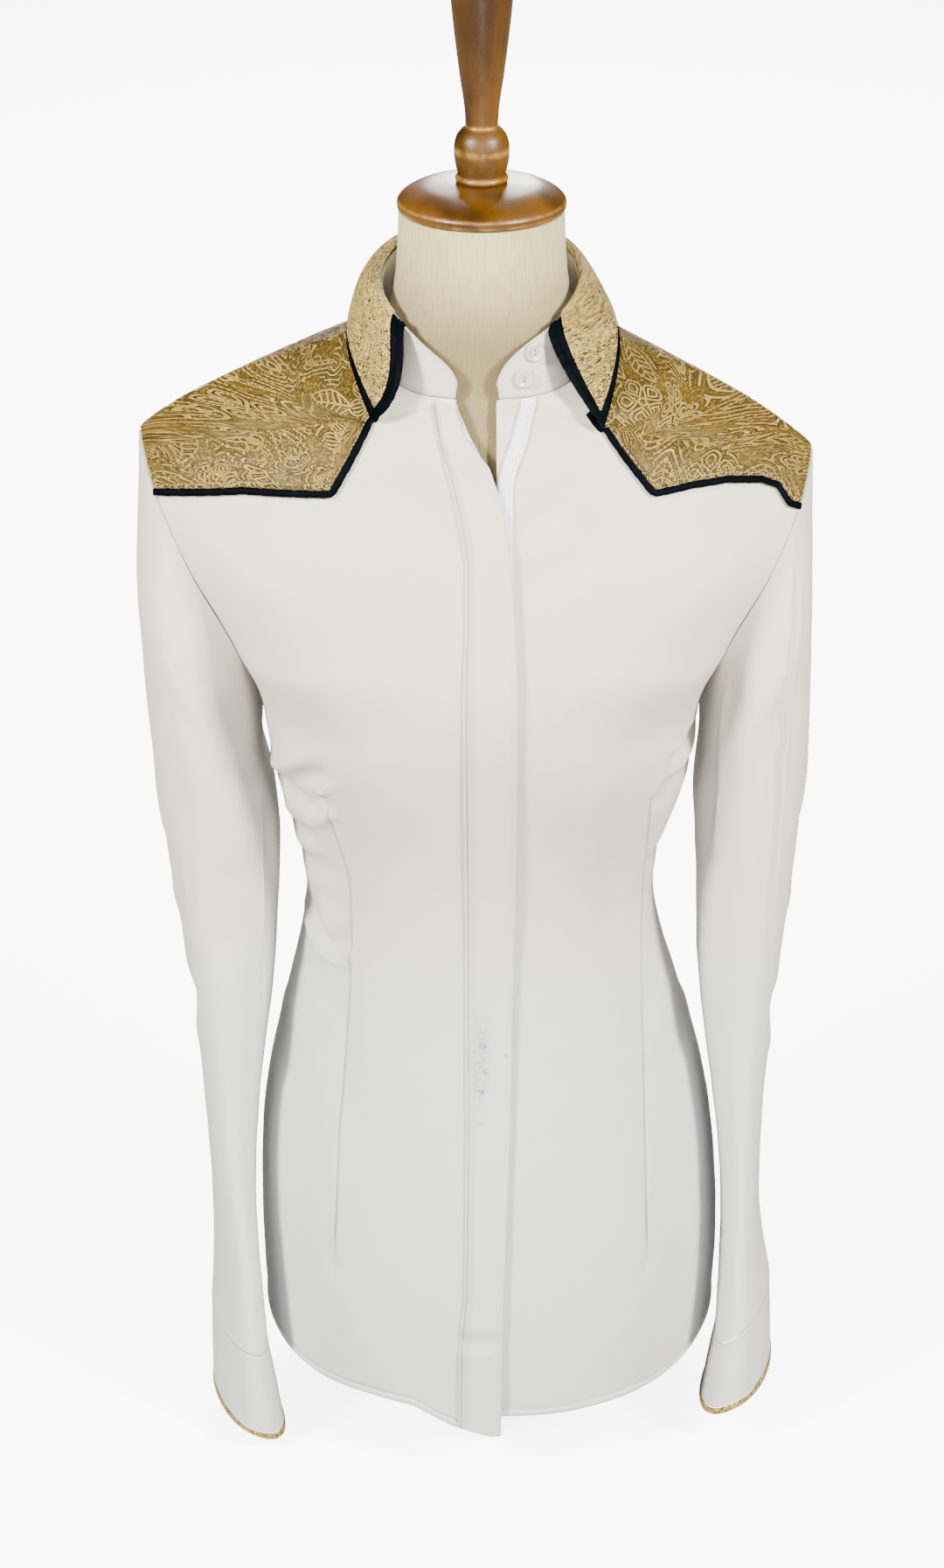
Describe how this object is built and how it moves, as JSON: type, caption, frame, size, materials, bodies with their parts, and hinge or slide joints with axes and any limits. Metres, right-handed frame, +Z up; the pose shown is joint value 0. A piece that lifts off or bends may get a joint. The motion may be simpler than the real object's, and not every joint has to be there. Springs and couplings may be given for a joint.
{
  "type": "western show shirt on a limbless dress form",
  "caption": "Fitted ivory western show shirt with gold brocade yokes and collar, black piping and a hidden front zip, standing on a padded tabletop dress form with a turned wooden neck cap.",
  "frame": {"origin": "on the underside of the form's base, where the part rests, below the middle of the shirt", "axes": "+Z up, the shirt's front faces -Y, +X towards the wearer's left"},
  "size_m": [0.4161, 0.2507, 0.983],
  "materials": {
    "shirt_cloth": "smooth fine stretch weave, ivory white, soft satin sheen",
    "gold_brocade": "raised corded leaf and swirl brocade with metallic yarn",
    "black_satin": "black satin with a blue sheen",
    "zip_tape": "bright white woven zip tape",
    "button": "translucent white, polished",
    "form_jersey": "cream fine rib jersey over foam",
    "turned_wood": "brown stained and waxed turned wood, worn on its edges"
  },
  "bodies": {
    "root": {"front_right": "shirt_cloth", "front_left": "shirt_cloth", "back": "shirt_cloth", "sleeve_right": "shirt_cloth", "sleeve_left": "shirt_cloth", "cuff_right": "shirt_cloth", "cuff_left": "shirt_cloth", "collar_stand": "shirt_cloth", "placket": "shirt_cloth", "yoke_front_right": "gold_brocade", "yoke_front_left": "gold_brocade", "yoke_back": "gold_brocade", "collar_top": "gold_brocade", "cuff_binding_right": "gold_brocade", "cuff_binding_left": "gold_brocade", "collar_under": "black_satin", "yoke_piping_right": "black_satin", "yoke_piping_left": "black_satin", "yoke_piping_back": "black_satin", "zip_tape_right": "zip_tape", "zip_tape_left": "zip_tape", "button_top": "button", "button_lower": "button", "form_torso": "form_jersey", "form_base": "turned_wood", "form_neck_cap": "turned_wood", "form_finial": "turned_wood"}
  },
  "joints": []
}
